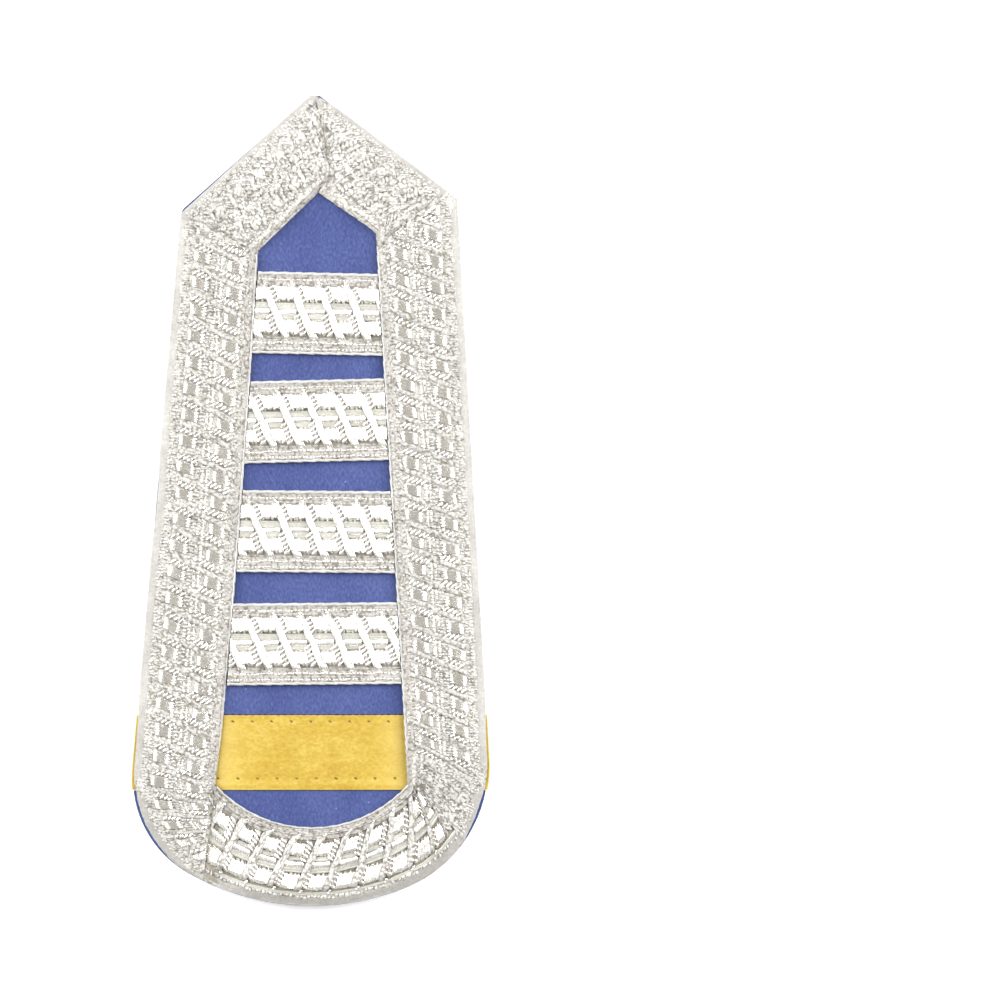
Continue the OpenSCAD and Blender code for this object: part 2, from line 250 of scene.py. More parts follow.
# Hems of the side laces: (distance above the middle of the board, how far inside the board's edge)
HEM_LEFT = ((-66, 0.05), (-61, 0.1), (-58, 0.45), (-49, 0.45), (-47, 0.2), (-37, 0.15), (-34, -0.08),
            (-7, -0.05), (-4, 0.15), (2, 0.15), (6, -0.08), (60, -0.08))
HEM_RIGHT = ((-66, 0.0), (-57, 0.05), (-54, 0.4), (-49, 0.5), (-47, 0.2), (-37, 0.15), (-34, -0.08),
             (60, -0.08))
# Hems on the slopes: (distance down from the tip, how far inside the board's edge)
HEM_LEFT_SLOPE = ((0, 0.3), (1, 0.12), (3, 0.08), (8, 0.06), (13, 0.08), (22, 0.2), (30, 0.34))
HEM_RIGHT_SLOPE = ((0, 0.4), (1.6, 0.2), (3.6, -0.05), (30, -0.05))


def side_hems(outer, hem):
    return np.interp(outer[:, 1], *zip(*hem))


def slope_hems(outer, hem):
    return np.interp(np.linalg.norm(outer - tip, axis=1), *zip(*hem))


DRAWN_OUT = 20  # how far a run goes on past its seams, which then trim it


def straight_edges(a, b, laid, before, after):
    """Edges of lace along the board's straight edge from a to b, drawn out past both ends."""
    u, length = unit(b - a), np.linalg.norm(b - a)
    s = np.linspace(-before, length + after, 200)
    width = LACE_W * (laid[0] + (laid[1] - laid[0]) * s / length)
    line = a + np.outer(s, u)
    return line, line + np.outer(width, left_of(u))


def bowed(inner, start, end, bow):
    """The inner edge bowed into the window between its corners."""
    along = (inner - start) @ unit(end - start) / np.linalg.norm(end - start)
    t = np.clip(along, 0, 1)
    return inner + np.outer(4 * bow * t * (1 - t), (1, 0))


def even_run(outer, inner, pitch, start, hems=0.0):
    """A run whose repeats are evenly spaced on its middle line. Repeat 0 stands start past its beginning."""
    return Run(outer, inner, (lengths((outer + inner) / 2) - start) / pitch, hems)


def slope_run_left():
    outer, inner = straight_edges(tip, left_shoulder, LEFT_SLOPE[::-1], DRAWN_OUT, DRAWN_OUT)
    return even_run(outer, inner, SLOPE_PITCH, 3.2, slope_hems(outer, HEM_LEFT_SLOPE))


def slope_run_right():
    outer, inner = straight_edges(right_shoulder, tip, RIGHT_SLOPE, DRAWN_OUT, DRAWN_OUT)
    # Past the window's corner the lace ends at the line of the right side lace
    start, u = right_side_in
    inner[:, 0] = np.minimum(inner[:, 0], start[0] + u[0] * (inner[:, 1] - start[1]) / u[1])
    return even_run(outer, inner, SLOPE_PITCH, 1.0, slope_hems(outer, HEM_RIGHT_SLOPE))


def side_run_left():
    """Down the left side, then round the lower corner until past the left dart."""
    outer, inner = straight_edges(left_shoulder, left_side_end, LEFT_SIDE, DRAWN_OUT, 0)
    inner = bowed(inner, window_left, window_low_left, SIDE_BOW)
    d = np.linspace(0, 31, 90)[1:]
    corner_outer = points_along(foot_edge(), d)
    # How far the lace has turned, in degrees, at distances round the corner
    turn = np.interp(d, (0, 5, 12, 27, 31), (-1.5, 3, 16, 52, 62))
    inward = np.array([LACE_W * 1.02 * heading(a) for a in turn])
    number = lengths((outer + inner) / 2) / LEFT_PITCH
    all_outer = np.concatenate((outer, corner_outer))
    return Run(all_outer, np.concatenate((inner, corner_outer + inward)),
               np.concatenate((number, number[-1] + d / CORNER_PITCH)), side_hems(all_outer, HEM_LEFT))


def foot_and_right_run():
    """Round the foot from left to right, round the corner and up the right side."""
    low = arc(window_c, WINDOW_FOOT_R, 190, angle_of(window_low_right - window_c) % 360, 0.25)
    x = low[:, 0]
    edge = foot_edge()
    last = np.argmax(edge[:, 0])
    # The place across the board of the outer edge, for each point of the window's edge
    under = x * np.where(x > 0, 1.03 + 0.0176 * x, 1.03 - 0.004 * x)
    on_edge = np.interp(under, edge[:last, 0], lengths(edge)[:last])
    up_outer, _ = straight_edges(right_side_end, right_shoulder, RIGHT_SIDE[::-1], 0, DRAWN_OUT)
    outer_path = np.concatenate((edge, up_outer[1:]))
    inner_path = np.concatenate((low, window_low_right + np.outer((1, 150), right_side_in[1])))
    low_outer = points_along(outer_path, on_edge)
    # Past the window's corner the lace is eased round: how far its two edges have come
    outer_gone = (0, 4.4, 8.8, 13.2, 17.6, 22.0, 26.4, 30.8, 35.2, 39.6, 44.0, 144.0)
    inner_gone = (0, 0.7, 1.4, 2.6, 4.6, 7.4, 11.0, 14.9, 18.9, 23.0, 27.2, 127.2)
    d = np.arange(0.5, 135, 0.5)
    turned = points_along(outer_path, on_edge[-1] + d)
    eased = points_along(inner_path, lengths(low)[-1] + np.interp(d, outer_gone, inner_gone))
    number = lengths((low_outer + low) / 2) / FOOT_PITCH
    all_outer = np.concatenate((low_outer, turned))
    hems = np.where(all_outer[:, 0] < 0, side_hems(all_outer, HEM_LEFT), side_hems(all_outer, HEM_RIGHT))
    return Run(all_outer, np.concatenate((low, eased)),
               np.concatenate((number, number[-1] + d / RIGHT_PITCH)), hems)


def bar_run(y, degrees, rib_place):
    u = heading(degrees)
    line = vec(0, y) + np.outer(np.linspace(-HALF_W, HALF_W, 40), u)
    half = left_of(u) * LACE_W / 2
    return even_run(line + half, line - half, ON_BAR_PITCH, HALF_W + rib_place)


# Modelling in the lace's own space: X along it, Y across it from one edge, Z above the cloth

REPEAT = 4.6
# Tops of the threads above the cloth
RIB_TOP, BLOCK_TOP, STRAND_TOP, BAR_TOP, SELVAGE_TOP, CORD_TOP = 1.4, 1.3, 1.3, 1.15, 1.0, 1.2
# Tops of the ground: under the figure, under the close figure of the border, and at its two edges
GROUND_TOP, CLOSE_RISE, INNER_EDGE_TOP, ROLLED_EDGE_TOP = 0.5, 0.3, 0.96, 0.7
GROUND_T, LIFT_OFF_CLOTH, OVER_RIBBON = 0.45, 0.01, 0.32
# Widths: of the outer edge's roll, of a furrow to each side of its seam, of the ground's rise at its edges
# and of the part of that rise with the selvage's finish
ROLL_W, FURROW_HALF_W, RISE_W, SELVAGE_W = 1.3, 0.7, 0.9, 0.6


def select(*pieces):
    """Selects these pieces and nothing else, and makes the first one active."""
    bpy.ops.object.select_all(action="DESELECT")
    for piece in pieces:
        piece.select_set(True)
    bpy.context.view_layer.objects.active = pieces[0]


def smooth(piece, degrees):
    select(piece)
    bpy.ops.object.shade_smooth_by_angle(angle=math.radians(degrees))


def edit(piece, operator, **settings):
    """Runs an edit mode operator on the whole of a piece."""
    select(piece)
    bpy.ops.object.mode_set(mode="EDIT")
    bpy.ops.mesh.select_all(action="SELECT")
    operator(**settings)
    bpy.ops.object.mode_set(mode="OBJECT")


def points(piece):
    co = np.empty(len(piece.data.vertices) * 3, np.float32)
    piece.data.vertices.foreach_get("co", co)
    return co.reshape(-1, 3).astype(float)


def set_points(piece, co):
    piece.data.vertices.foreach_set("co", np.asarray(co, np.float32).ravel())
    piece.data.update()


def apply(piece, kind, **settings):
    """Puts a modifier on a piece and applies it."""
    modifier = piece.modifiers.new(kind.title(), kind)
    for name, value in settings.items():
        setattr(modifier, name, value)
    bpy.context.view_layer.objects.active = piece
    bpy.ops.object.modifier_apply(modifier=modifier.name)


def repeated(piece, count, step, **settings):
    apply(piece, "ARRAY", count=count, use_relative_offset=False, use_constant_offset=True,
          constant_offset_displace=step, **settings)


def repeat_along(piece, count):
    """Copies of a repeat of the lace, end to end."""
    repeated(piece, count, (REPEAT, 0, 0), use_merge_vertices=True, merge_threshold=0.001)


def joined(name, parts):
    """Several parts as one piece at the origin."""
    select(*parts)
    if len(parts) > 1:
        bpy.ops.object.join()
    bpy.ops.object.transform_apply()
    parts[0].name = parts[0].data.name = name
    return parts[0]


def thread(at, size, lean=0.0, flat=0.4, along=6):
    """One stretch of thread on the face. at is (x, y, top); size is (width, length across the lace, drop of
    its ends into the weave); flat is the share of it that lies level."""
    bpy.ops.mesh.primitive_grid_add(x_subdivisions=4, y_subdivisions=along, size=2,
                                    location=at, rotation=(0, 0, math.radians(lean)))
    strip = bpy.context.active_object
    co = points(strip)
    turn = co[:, 0] * math.radians(72)
    end = np.clip((np.abs(co[:, 1]) - flat) / (1 - flat), 0, 1)
    half = size[0] / 2
    set_points(strip, np.column_stack((
        half * np.sin(turn) * (1 - 0.3 * end ** 3),
        co[:, 1] * size[1] / 2,
        -half * 0.9 * (1 - np.cos(turn)) - size[2] * end ** 2)))
    return strip


def edge_thread(y, radius, top):
    """A thread that runs along the lace through the whole repeat."""
    bpy.ops.mesh.primitive_cylinder_add(
        vertices=6, radius=radius, depth=REPEAT, end_fill_type="NOTHING",
        location=(REPEAT / 2, y, top - radius), rotation=(0, math.pi / 2, 0))
    return bpy.context.active_object


RIB_MIDDLE, RIB_SLANT = 6.7, 0.45


def rib(width):
    """The smooth slanting band of four threads that lie side by side."""
    parts = []
    for offset in np.array((-0.38, -0.13, 0.13, 0.38)) * width / 1.1:
        long = thread((0, RIB_MIDDLE, 0), (0.33 * width, 9.6, 0.5), flat=0.86, along=18)
        bpy.ops.object.transform_apply()
        co = points(long)
        co[:, 0] += RIB_SLANT * (co[:, 1] - RIB_MIDDLE) + offset
        co[:, 2] += RIB_TOP - 0.9 * offset ** 2
        set_points(long, co)
        parts.append(long)
    return parts


BLOCK_THREADS = 8


def block(y_from, y_to, left, right, flat):
    """A satin block: threads side by side across the lace. left and right are its sides at both ends."""
    parts = []
    for k in range(BLOCK_THREADS):
        share = (k + 0.5) / BLOCK_THREADS
        x_from, x_to = (a + (b - a) * share for a, b in zip(left, right))
        width = (right[0] - left[0] + right[1] - left[1]) / 2 / BLOCK_THREADS * 1.3
        ragged = 0.22 * math.sin(k * 2.4 + y_from)
        length = y_to - y_from + ragged
        lean = -math.degrees(math.atan2(x_to - x_from, y_to - y_from))
        crown = 0.12 * (1 - (2 * share - 1) ** 2)
        parts.append(thread(
            ((x_from + x_to) / 2, (y_from + y_to) / 2 + ragged / 4, BLOCK_TOP + crown),
            (width, length, 0.75), lean, flat, along=8))
    return parts


def strand(x_from, y_from, x_to, y_to, count):
    """A twisted strand: its turns lie aslant, one below the other."""
    return [
        thread((x_from + (x_to - x_from) * t, y_from + (y_to - y_from) * t, STRAND_TOP),
               (0.5, 1.35, 0.2), lean=46, flat=0.3)
        for t in np.linspace(0, 1, count)
    ]


def centre_bar():
    """The short threads that bind the middle of the figure."""
    return [thread((x, 6.55, BAR_TOP), (0.42, 1.3, 0.3), flat=0.45) for x in np.arange(0.7, 3.6, 0.38)]


def selvage(edge, way, rows):
    """Threads that run along one edge of the lace."""
    return [edge_thread(edge + way * (0.62 + 0.24 * k), 0.17, SELVAGE_TOP) for k in range(rows)]


def cord(edge, way, width):
    """The two-ply cord at an edge."""
    return [thread((x, edge + way * width / 2, CORD_TOP), (width, 3.1, 0.16), lean=90 - way * 4, flat=0.6)
            for x in (0.6, 2.9)]


def long_beads(y, top, length, width=0.34):
    """A row of long turns of thread that lie along the lace, four to a repeat."""
    step = REPEAT / 4
    return [thread((step * (k + 0.3) + 0.1 * math.sin(5.0 * k + y), y, top), (width, length, 0.12),
                   lean=86 + 5 * math.sin(3.0 * k + y), flat=0.4, along=4)
            for k in range(4)]


def turns_at(places, top):
    """Single turns of thread beside the ends of a rib."""
    return [thread((x, y, top), (0.45, 0.7, 0.45), lean=-20, flat=0.0, along=4) for x, y in places]


def beads(top, *bands, size=(0.5, 0.66), step=0.5, seed=7):
    """Small uneven turns of thread close together, in bands (y from, y to) across the lace."""
    draw = np.random.default_rng(seed)
    count = int(REPEAT / (step + 0.07))
    pitch = REPEAT / count
    return [
        thread((x + draw.uniform(-0.16, 0.16), y + draw.uniform(-0.14, 0.14),
                top + draw.uniform(-0.12, 0.1)),
               (size[0] * draw.uniform(0.85, 1.12), size[1] * draw.uniform(0.8, 1.2), 0.22),
               draw.uniform(-70, 10), 0.0, 3)
        for low, high in bands
        for y in np.arange(low, high, step)
        for x in pitch * (np.arange(count) + (y * 1.7) % 1.0)
    ]


def underlay():
    """Padding threads under the two strands."""
    return [thread((-0.35, y, STRAND_TOP - 0.18), (1.5, length, 0.3), lean=-24, flat=0.6)
            for y, length in ((3.7, 3.2), (8.9, 3.8))]


def recess_threads():
    """Threads that run along the lace at the bottom of the recesses. A gap is left above each recess, where
    the ground's painted shade shows as the shadow under the block above.
    """
    return [edge_thread(y, 0.2, GROUND_TOP + 0.38)
            for y in (5.25, 5.5, 5.75, 6.0, 6.25, 6.5, 7.15, 7.4, 7.65)]


def woven_repeat(kind):
    """One repeat of the lace as it looks on a bar, round the foot, down a side or on the peak."""
    shift, rib_width = {"bar": (0.0, 1.3), "foot": (0.6, 1.2), "side": (0.8, 0.8), "peak": (0.7, 0.9)}[kind]
    ribs = rib(rib_width)
    if kind in ("bar", "foot"):
        blocks = (1.95, 5.05, (-0.45, 0.7), (1.9, 3.15), 0.8), (7.7, 10.6, (1.0, 2.25), (3.2, 4.4), 0.8)
    elif kind == "side":
        blocks = (1.8, 5.1, (0.0, 0.75), (1.7, 2.45), 0.62), (7.6, 10.9, (1.3, 2.05), (3.0, 3.75), 0.62)
    else:
        blocks = (1.8, 5.1, (0.0, 0.75), (1.9, 2.65), 0.2), (7.6, 10.9, (1.2, 2.05), (3.2, 4.05), 0.2)
    satin = block(*blocks[0]) + block(*blocks[1])
    satin += strand(-0.85, 2.7, 0.05, 4.8, 4) + strand(-1.0, 7.4, 0.2, 10.2, 5) + centre_bar()
    deep, edge, band, fine = recess_threads(), underlay(), [], []
    for part in ribs + satin + deep + edge:
        part.location[1] += shift
    if kind == "bar":
        cords = cord(0.0, 1, 0.5) + cord(LACE_W, -1, 0.42)
        edge += selvage(0.0, 1, 5) + selvage(LACE_W, -1, 8)
        edge += [edge_thread(y, 0.2, top) for y, top in ((1.8, 0.9), (2.0, 0.85), (11.0, 0.75))]
        satin += long_beads(1.2, SELVAGE_TOP + 0.05, 0.9, 0.28)
        satin += long_beads(11.75, SELVAGE_TOP + 0.1, 1.0) + long_beads(12.75, SELVAGE_TOP + 0.1, 0.8)
        satin += turns_at(((-2.1, 1.6), (-1.75, 1.9), (1.9, 11.3), (2.2, 11.7)), SELVAGE_TOP + 0.12)
    else:
        cords = cord(LACE_W, -1, 0.26)
        edge += [edge_thread(LACE_W - 0.36, 0.17, SELVAGE_TOP + 0.02)]
        edge += selvage(LACE_W, -1, 2 if kind == "peak" else 4)
        band = [edge_thread(y, 0.2, top) for y, top in (
            (0.16, 0.88), (0.4, 0.9), (0.64, 0.9), (0.88, 0.9), (1.12, 0.86), (1.34, 0.8), (1.56, 0.75))]
        if kind == "foot":
            deep += [edge_thread(y, 0.2, GROUND_TOP + 0.35) for y in (1.9, 2.15)]
            edge += [edge_thread(y, 0.17, SELVAGE_TOP - 0.15) for y in (11.45, 11.7, 11.95)]
            fine += long_beads(LACE_W - 0.95, SELVAGE_TOP + 0.06, 0.9, 0.28)
            fine += beads(SELVAGE_TOP + 0.05, (1.55, 1.65))
            satin += turns_at(((-1.6, 2.2), (-1.3, 2.5), (2.4, 12.0), (2.7, 12.2)), SELVAGE_TOP + 0.1)
        else:
            fine += beads(SELVAGE_TOP + 0.2, (6.0, 8.2))
            if kind == "side":
                fine += beads(SELVAGE_TOP + 0.03, (1.4, 2.8), (11.8, 13.1))
            else:
                fine += beads(SELVAGE_TOP + 0.03, (0.75, 2.8), (11.6, 12.0))
                fine += beads(SELVAGE_TOP + 0.15, (2.8, 11.4), size=(0.8, 1.1), step=0.8, seed=9)
                for part in ribs:
                    part.location[2] -= 0.25
    for finish, parts in (
        (silver_thread if kind == "bar" else soft_silver, ribs),
        (soft_silver if kind == "peak" else silver_thread, satin), (soft_silver, fine),
        (selvage_thread if kind == "peak" else white_cord, cords), (selvage_thread, edge),
        (band_thread, band), (selvage_thread if kind == "peak" else recess_thread, deep),
    ):
        for part in parts:
            part.data.materials.append(finish)
    return joined(kind + "_repeat", ribs + satin + fine + cords + edge + band + deep)


def ripple(co, size, seed):
    """A smooth uneven value at each point, near 0 and mostly within 1."""
    draw = np.random.default_rng(seed)
    total = np.zeros(len(co))
    for _ in range(7):
        wave = draw.normal(size=co.shape[1])
        wave *= 2 * math.pi / size / np.linalg.norm(wave) * draw.uniform(0.7, 1.4)
        total += np.sin(co @ wave + draw.uniform(0, 2 * math.pi))
    return total / 3.2


def ground_strip(count, kind):
    """The ground weave under the figure. It thickens to a selvage under the cords at its edges."""
    close = kind in ("side", "peak")
    top = GROUND_TOP + (CLOSE_RISE if close else 0.0)
    outer_top = INNER_EDGE_TOP if kind == "bar" else ROLLED_EDGE_TOP
    bpy.ops.mesh.primitive_grid_add(x_subdivisions=3, y_subdivisions=28, size=1)
    strip = bpy.context.active_object
    co = points(strip)
    co[:, :2] = (co[:, :2] + 0.5) * (REPEAT, LACE_W)
    to_outer, to_inner = (np.clip(1 - y / RISE_W, 0, 1) for y in (co[:, 1], LACE_W - co[:, 1]))
    co[:, 2] = top + (outer_top - top) * to_outer + (INNER_EDGE_TOP - top) * to_inner
    set_points(strip, co)
    # Under the open figure of the bars and the foot the ground has the dark colour painted as shade
    strip.data.materials.append(light_weave if close else ground_weave_painted_shade)
    strip.data.materials.append(selvage_thread)
    for face in strip.data.polygons:
        if not SELVAGE_W < face.center[1] < LACE_W - SELVAGE_W:
            face.material_index = 1
    repeat_along(strip, count)
    return strip


def smoothstep(t):
    t = np.clip(t, 0, 1)
    return t * t * (3 - 2 * t)


def over_ribbon(xy):
    """How much lace is lifted where the ribbon passes under it."""
    _, across = board_to_ribbon(xy)
    return OVER_RIBBON * smoothstep((RIBBON_W / 2 + 0.9 - np.abs(across)) / 0.9)


def furrow(xy, tucks):
    """How much lace is drawn down at each point: 0 on the flat, up to 1 along a seam.
    Each tuck is (seam, depth, how far along the seam it goes from the outer end)."""
    down = np.zeros(len(xy))
    for (a, b), depth, fade in tucks:
        u = unit(b - a)
        away = np.abs((xy - a) @ left_of(u))
        along = (xy - a) @ u
        full = smoothstep((fade - along) / 3.0 + 0.5) * smoothstep((along + 1.5) / 1.5)
        down = np.maximum(down, depth * full * np.clip(1 - away / FURROW_HALF_W, 0, 1))
    return down


def lay(piece, run, first, rolled, seed, tucks):
    """Lays a strip along its run. first is the number of the repeat it starts with."""
    co = points(piece)
    uneven = co.copy()
    uneven[:, 0] += seed * 100
    co[:, 0] += 0.12 * ripple(uneven, 4.0, 1) + 0.06 * ripple(uneven, 1.1, 2)
    inside = smoothstep(np.minimum(co[:, 1], LACE_W - co[:, 1]) / 1.5)
    co[:, 1] += inside * (0.1 * ripple(uneven, 3.0, 3) + 0.06 * ripple(uneven, 0.9, 4))
    co[:, 2] += 0.05 * ripple(uneven, 5.0, 5) + 0.015 * ripple(uneven, 0.9, 6)
    number = co[:, 0] / REPEAT + first
    share = co[:, 1] / LACE_W
    xy = run.place(number, share)
    height = np.maximum(co[:, 2], 0.05) * (1 - furrow(xy, tucks))
    z = FACE_Z + over_ribbon(xy)
    if rolled:
        height *= 1 - 0.5 * np.clip(1 - share * run.width(number) / ROLL_W, 0, 1) ** 1.5
    set_points(piece, np.column_stack((xy, z + height)) * MM)
    if not rolled:
        # A bar's run goes the other way round than the border's, which turns its faces over
        edit(piece, bpy.ops.mesh.flip_normals)


def trim(piece, seam, keep):
    """Cuts a piece along a seam and keeps the side on which the point keep lies."""
    a, b = seam
    normal = left_of(unit(b - a))
    if (keep - a) @ normal > 0:
        normal = -normal
    edit(piece, bpy.ops.mesh.bisect, plane_co=(*(a * MM), 0), plane_no=(*normal, 0),
         clear_outer=True, threshold=1e-7)


def lace_piece(name, stretches, tucks):
    """A piece of lace: its ground and the figure on it.
    Each stretch is (run, first repeat, count, kind of repeat, seams as (seam, point on the kept side))."""
    grounds, figures = [], []
    for run, first, count, kind, seams in stretches:
        figure = REPEATS[kind].copy()
        figure.data = figure.data.copy()
        bpy.context.scene.collection.objects.link(figure)
        repeat_along(figure, count)
        ground = ground_strip(count, kind)
        for strip in (figure, ground):
            lay(strip, run, first, kind != "bar", len(name), tucks)
            for seam, keep in seams:
                trim(strip, seam, keep)
        upper = len(ground.data.vertices)
        apply(ground, "SOLIDIFY", thickness=GROUND_T * MM, offset=-1)
        # Its underside lies flat on the cloth and on the ribbon
        co = points(ground)
        co[upper:, :2] = co[:upper, :2]
        co[upper:, 2] = (FACE_Z + LIFT_OFF_CLOTH + over_ribbon(co[upper:, :2] / MM)) * MM
        set_points(ground, co)
        figures.append(figure)
        grounds.append(ground)
    pieces = joined(name + "_ground", grounds), joined(name + "_figure", figures)
    for piece in pieces:
        smooth(piece, 60)
    return pieces


# Finishes

def new_material(name):
    material = bpy.data.materials.new(name)
    material.use_nodes = True
    tree = material.node_tree
    return material, tree, tree.nodes["Principled BSDF"]


def new_node(tree, kind, **inputs):
    return fill(tree.nodes.new("ShaderNode" + kind), **inputs)


def fill(node, **inputs):
    """Puts a value or another node's output on each input named. A _ in a name stands for a space."""
    for name, given in inputs.items():
        socket = node.inputs[name.replace("_", " ")]
        if isinstance(given, bpy.types.NodeSocket):
            node.id_data.links.new(given, socket)
        else:
            socket.default_value = given
    return node


def shader_group(name, inputs, outputs):
    """A node group with named sockets. All are for single values but the one for a place."""
    group = bpy.data.node_groups.new(name, "ShaderNodeTree")
    for way, labels in (("INPUT", inputs), ("OUTPUT", outputs)):
        for label in labels:
            kind = "NodeSocketVector" if label == "Vector" else "NodeSocketFloat"
            group.interface.new_socket(name=label, in_out=way, socket_type=kind)
    return group, group.nodes.new("NodeGroupInput").outputs, group.nodes.new("NodeGroupOutput")


def fleck_group():
    """Uneven value over a surface: soft patches with finer flecks on them."""
    group, given, out = shader_group(
        "patches_and_flecks", ("Vector", "Patch Scale", "Fleck Scale", "Fleck Share"), ("Value",))
    patch = new_node(group, "TexNoise", Vector=given["Vector"], Scale=given["Patch Scale"], Detail=3)
    fleck = new_node(group, "TexNoise", Vector=given["Vector"], Scale=given["Fleck Scale"], Detail=4)
    mix = new_node(group, "Mix", Factor=given["Fleck Share"], A=patch.outputs["Fac"], B=fleck.outputs["Fac"])
    fill(out, Value=mix.outputs["Result"])
    return group


def place_group(tree, group, **inputs):
    node = new_node(tree, "Group")
    node.node_tree = group
    return fill(node, **inputs)


def coordinates(tree, scale=(1, 1, 1), turn=0.0):
    """Object coordinates, stretched and turned by a Mapping node."""
    where = new_node(tree, "TexCoord").outputs["Object"]
    rotation = (0, 0, math.radians(turn))
    return new_node(tree, "Mapping", Vector=where, Scale=scale, Rotation=rotation).outputs["Vector"]


def ramp(tree, value, stops):
    """Colours along a value. Each of the three stops is (position, colour)."""
    node = new_node(tree, "ValToRGB", Fac=value)
    elements = node.color_ramp.elements
    elements.new(0.5)
    for element, (position, colour) in zip(elements, stops):
        element.position = position
        element.color = (*colour, 1)
    return node.outputs["Color"]


def spread(tree, value, start=(0.3, 0.7), low=0.0, high=1.0):
    """A value that goes from low to high while the one given goes over start."""
    return new_node(tree, "MapRange", Value=value, From_Min=start[0], From_Max=start[1],
                    To_Min=low, To_Max=high).outputs["Result"]


def over(tree, colour, top, share, blend="MIX"):
    """A colour with another laid over it, by a share from 0 to 1."""
    node = new_node(tree, "Mix")
    node.data_type, node.blend_type = "RGBA", blend
    return fill(node, A=colour, B=(*top, 1), Factor=share).outputs["Result"]


def sideways(tree, where):
    """How far to the left or to the right a point lies."""
    away = new_node(tree, "Math")
    away.operation = "ABSOLUTE"
    tree.links.new(new_node(tree, "SeparateXYZ", Vector=where).outputs["X"], away.inputs[0])
    return away.outputs["Value"]


def bump(tree, height, strength, distance, **under):
    """The normal of a surface with bumps on it, or of one with these on others."""
    node = new_node(tree, "Bump", Height=height, Strength=strength, Distance=distance, **under)
    return node.outputs["Normal"]


def grain_group():
    """Small rounded grains with narrow gaps between them, as turns of fine wire look. The gaps give the share
    of painted shade between the turns.
    """
    group, given, out = shader_group("wire_grains", ("Vector", "Scale"), ("Height", "Gap"))
    cells = new_node(group, "TexVoronoi", Vector=given["Vector"], Scale=given["Scale"]).outputs["Distance"]
    height = new_node(group, "Math")
    height.operation = "SUBTRACT"
    height.inputs[0].default_value = 1.0
    group.links.new(cells, height.inputs[1])
    fill(out, Height=height.outputs["Value"], Gap=spread(group, cells, (0.45, 0.8)))
    return group


flecks, grains = fleck_group(), grain_group()


def uneven_colour(tree, where, patch, fleck, share, stops):
    """An uneven value over a surface, and the colour it gives."""
    value = place_group(tree, flecks, Vector=where, Patch_Scale=patch, Fleck_Scale=fleck,
                        Fleck_Share=share).outputs["Value"]
    return value, ramp(tree, value, stops)


def make_thread(name, colours, metallic, roughness, patch=260.0, fleck=2600.0, relief=(0.35, 0.00008),
                grainy=None):
    """Thread. colours are its dull, middle and bright tone. roughness is that of the dull and of the bright
    places. relief is (strength, depth) of its bump. grainy is (scale, depth) of grains over it, if any, with
    painted shade in the gaps between them."""
    material, tree, shader = new_material(name)
    where = coordinates(tree)
    value, colour = uneven_colour(tree, where, patch, fleck, 0.55, zip((0.3, 0.5, 0.7), colours))
    under = {}
    if grainy:
        wire = place_group(tree, grains, Vector=where, Scale=grainy[0]).outputs
        under = {"Normal": bump(tree, wire["Height"], 1.0, grainy[1])}
        # The gaps between the grains are painted darker as shade
        colour = over(tree, colour, (0.45, 0.42, 0.38), wire["Gap"], "MULTIPLY")
    fill(shader, Base_Color=colour, Metallic=metallic, Normal=bump(tree, value, *relief, **under),
         Roughness=spread(tree, value, low=roughness[0], high=roughness[1]))
    return material


def make_cloth():
    material, tree, shader = new_material("blue_cloth")
    nap, colour = uneven_colour(
        tree, coordinates(tree, (1.0, 0.6, 1.0), 45), 160.0, 2600.0, 0.62,
        ((0.3, (0.034, 0.047, 0.150)), (0.5, (0.055, 0.075, 0.210)), (0.7, (0.086, 0.113, 0.275))))
    # Small pale specks of lint
    lint = new_node(tree, "TexVoronoi", Vector=coordinates(tree), Scale=420)
    speck = spread(tree, lint.outputs["Distance"], (0.05, 0.02))
    fill(shader, Base_Color=over(tree, colour, (0.35, 0.38, 0.55), speck), Roughness=0.95,
         Specular_IOR_Level=0.15, Sheen_Weight=0.25, Sheen_Roughness=0.5,
         Normal=bump(tree, nap, 0.6, 0.00015))
    return material


def make_satin():
    material, tree, shader = new_material("gold_satin")
    value, colour = uneven_colour(
        tree, coordinates(tree, (0.7, 1.0, 1.0)), 330.0, 2300.0, 0.6,
        ((0.32, (0.37, 0.225, 0.018)), (0.5, (0.44, 0.30, 0.034)), (0.66, (0.51, 0.375, 0.075))))
    # A painted highlight: the satin's colour is made lighter where it goes down beside the lace, at both ends
    # of what shows of it
    painted_sheen_by_lace = spread(tree, sideways(tree, coordinates(tree)), (0.0095, 0.0145), high=0.5)
    painted_sheen_by_lace.node.interpolation_type = "SMOOTHSTEP"
    fill(shader, Base_Color=over(tree, colour, (0.58, 0.43, 0.10), painted_sheen_by_lace),
         Roughness=spread(tree, value, low=0.5, high=0.36), Specular_IOR_Level=0.4, Sheen_Weight=0.15,
         Normal=bump(tree, value, 0.6, 0.0002))
    return material


